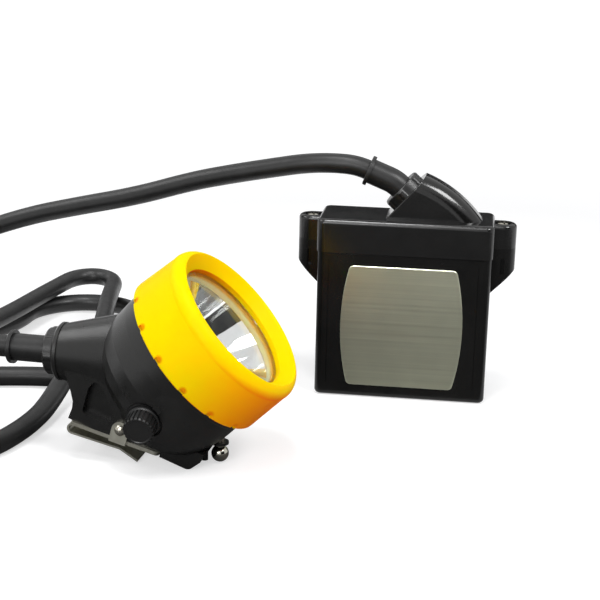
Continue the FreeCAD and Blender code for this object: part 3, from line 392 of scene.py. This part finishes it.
# the cable, in mm: straight leads out of both boots, and the route's points between them
# each exit: the end of the boot, its direction, the length of the straight lead
cable = {
    "thickness": 8.6,
    "length": 1.4515,      # metres, boot to boot
    "packExit": ((-17.885, 0, 98.215), (-0.9317, 0, 0.3633), 5),
    "headExit": ((-147.768, -92.139, 39.295), (-0.9971, 0.0767, 0), 20),
    "order": 3, "steps": 10, "roundness": 7,      # of the curve: order, steps between points, bevel
    "route": [
        (-33, 0.9, 100.4), (-45, 2.4, 99.4), (-58, 5, 96.6), (-76, 8, 92.6), (-97, 12, 87.3),
        (-124, 17.5, 78), (-153, 24, 70.6), (-180, 27, 63.6), (-212, 28, 51.5), (-244, 26, 33),
        (-274, 17, 14.5), (-295, -9, 4.6), (-287, -41, 4.4), (-258, -51, 4.4), (-230, -34, 4.4),
        (-214, -4, 4.4), (-203, 26, 4.4), (-193, 50, 4.4), (-192.3, 73.1, 4.4), (-175.4, 90, 4.4),
        (-151.6, 90, 4.4), (-134.7, 73.1, 4.4), (-114, 48, 4.4), (-104, 16, 4.4), (-113, -13, 4.4),
        (-138, -26.5, 4.4), (-170, -29, 4.4), (-204, -40, 4.4), (-232, -64, 4.4), (-242, -100, 4.4),
        (-222, -135, 4.4), (-184, -146, 4.4), (-153, -120, 4.4), (-142.5, -84, 4.4), (-141.5, -54, 7.5),
        (-141, -26, 15.5), (-142, 5, 10.5), (-145, 32, 12), (-149.5, 56, 13.7), (-153.5, 79, 13.9),
        (-156.3, 99, 14.2), (-167.5, 105, 15), (-179, 99.5, 14.6), (-182.8, 81, 14.3), (-186.5, 60, 14.2),
        (-190.5, 36, 13.9), (-197, 6, 13.8), (-208, -24, 14), (-217, -53, 21), (-206, -81, 32)],
}


def lead(at, toward, run):
    return [Vector(at), Vector(at) + Vector(toward) * run]


def makeCable():
    route = [Vector(p) for p in cable["route"]]
    points = lead(*cable["packExit"]) + route + lead(*cable["headExit"])[::-1]
    curve = bpy.data.curves.new("lampCable", "CURVE")
    curve.dimensions = "3D"
    line = curve.splines.new("NURBS")
    line.points.add(len(points) - 1)
    for spot, p in zip(line.points, points):
        spot.co = (*(p / 1000), 1)
    line.order_u = cable["order"]
    line.use_endpoint_u = True
    line.resolution_u = cable["steps"]
    curve.bevel_depth = cable["thickness"] / 2000      # the radius, in metres
    curve.bevel_resolution = cable["roundness"]
    curve.use_fill_caps = True
    piece = addObject("lampCable", curve)
    curve.materials.append(finishes["cableBlack"])
    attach(piece, "lamp")
    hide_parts("cable")


makeCable()
print("cable laid")


def showsBackground(tree):
    # 1 for the rays that see the background: straight, mirrored or through the lens
    rays = addNode(tree, "ShaderNodeLightPath")
    direct = calculate(tree, "MAXIMUM", rays.outputs["Is Camera Ray"], rays.outputs["Is Glossy Ray"])
    return calculate(tree, "MAXIMUM", direct, rays.outputs["Is Transmission Ray"])


paperRough = 0.9


def makeSheet(name, size, gray, matName):
    # a flat dull sheet with its middle at its own origin
    x, y = size[0] / 2, size[1] / 2
    mesh = bpy.data.meshes.new(name)
    mesh.from_pydata([(-x, -y, 0), (x, -y, 0), (x, y, 0), (-x, y, 0)], [], [(0, 1, 2, 3)])
    mat, tree, shader = newMaterial(matName)
    setInputs(shader, {"Base Color": opaque([gray] * 3), "Roughness": paperRough, "Specular IOR Level": 0.0})
    mesh.materials.append(mat)
    return addObject(name, mesh), tree, shader


# pale floor just under the lamp, whose glow hides the horizon
# glow: the white that it adds near the lamp and far from it; glowOver: how near and far those are
ground = {"size": (12.0, 12.0), "drop": 0.0002, "gray": 0.52, "glow": (0.58, 1.0), "glowOver": (0.4, 0.9)}


def makeFloor():
    floor, tree, shader = makeSheet("floor", ground["size"], ground["gray"], "paleFloor")
    floor.location.z = -ground["drop"]
    far = addNode(tree, "ShaderNodeVectorMath", operation="LENGTH")
    tree.links.new(place(tree), far.inputs[0])
    glow = mapRange(tree, far.outputs["Value"], *ground["glow"], *ground["glowOver"])
    seen = calculate(tree, "MULTIPLY", glow, showsBackground(tree))
    shader.inputs["Emission Color"].default_value = opaque((1, 1, 1))
    tree.links.new(seen, shader.inputs["Emission Strength"])


# the light from all round, which is plain white to the rays that see the background
sky = {"color": (0.9, 0.93, 1.0), "strength": 0.19}


def makeWorld():
    world = bpy.data.worlds.new("studio")
    bpy.context.scene.world = world
    world.use_nodes = True
    tree = world.node_tree
    background = tree.nodes["Background"]
    setInputs(background, {"Color": opaque(sky["color"]), "Strength": sky["strength"]})
    white = addNode(tree, "ShaderNodeBackground", Color=(1, 1, 1, 1), Strength=1.0)
    mix = addNode(tree, "ShaderNodeMixShader")
    tree.links.new(showsBackground(tree), mix.inputs["Fac"])
    tree.links.new(background.outputs[0], mix.inputs[1])
    tree.links.new(white.outputs[0], mix.inputs[2])
    tree.links.new(mix.outputs[0], tree.nodes["World Output"].inputs["Surface"])


def face(thing, toward):
    thing.rotation_euler = (Vector(toward) - thing.location).to_track_quat("-Z", "Y").to_euler()


# dark cards that only reflections see; one without a toward lies flat
cards = {
    "cardFront": {"at": (0.84, -0.97, 0.3), "toward": (-0.05, -0.1, 0.07),
                  "size": (1.2, 0.82), "gray": 0.006},
    "cardBack": {"at": (0.1, 1.5, 0.42), "toward": (-0.05, -0.1, 0.07),
                 "size": (2.6, 0.5), "gray": 0.12},
    "cardFloor": {"at": (0.02, -0.39, 0.0), "size": (0.7, 0.74), "gray": 0.14},
}


def makeCard(name, card):
    sheet = makeSheet(name, card["size"], card["gray"], name)[0]
    sheet.location = card["at"]
    if "toward" in card:
        face(sheet, card["toward"])
    sheet.visible_camera = sheet.visible_diffuse = sheet.visible_shadow = False


# soft rectangular lamps
lamps = {
    "overhead": {"at": (-0.11, -0.2, 0.93), "toward": (-0.04, -0.03, 0.06),
                 "size": (0.18, 0.16), "watts": 3.1},
    "leftHigh": {"at": (-0.67, -0.07, 0.67), "toward": (-0.1, -0.1, 0.05),
                 "size": (0.5, 0.24), "watts": 1.9},
    "rightHigh": {"at": (0.47, -0.33, 0.71), "toward": (0.01, -0.02, 0.08),
                  "size": (0.3, 0.22), "watts": 4.4},
    "frontHigh": {"at": (-0.09, -0.56, 0.73), "toward": (-0.07, -0.1, 0.06),
                  "size": (0.32, 0.22), "watts": 1.5},
    "frontLow": {"at": (-0.25, -0.86, 0.4), "toward": (-0.05, -0.08, 0.05),
                 "size": (0.4, 0.3), "watts": 2.8},
}


def softLamp(name, soft):
    lamp = bpy.data.lights.new(name, "AREA")
    lamp.shape = "RECTANGLE"
    lamp.size, lamp.size_y = soft["size"]
    lamp.energy = soft["watts"]
    thing = addObject(name, lamp)
    thing.location = soft["at"]
    face(thing, soft["toward"])


# the photograph's camera: metres, degrees, and its lens and sensor in mm
view = {"at": (0.03004, -0.6019, 0.21217), "heading": 7.2, "down": 16.0, "roll": 1.3,
        "lens": 85.2, "sensor": 36, "nearest": 0.01}


def makeCamera():
    camera = bpy.data.cameras.new("photoCamera")
    camera.lens = view["lens"]
    camera.sensor_width = view["sensor"]
    camera.clip_start = view["nearest"]
    thing = addObject("photoCamera", camera)
    thing.location = view["at"]
    thing.rotation_mode = "QUATERNION"
    heading = Quaternion((0, 0, 1), math.radians(view["heading"]))
    tilt = Quaternion((1, 0, 0), math.radians(90 - view["down"]))
    roll = Quaternion((0, 0, 1), math.radians(view["roll"]))
    thing.rotation_quaternion = heading @ tilt @ roll
    bpy.context.scene.camera = thing


makeFloor()
makeWorld()
for name, card in cards.items():
    makeCard(name, card)
for name, soft in lamps.items():
    softLamp(name, soft)
makeCamera()
bpy.context.scene.view_settings.view_transform = "Standard"
print("studio ready")
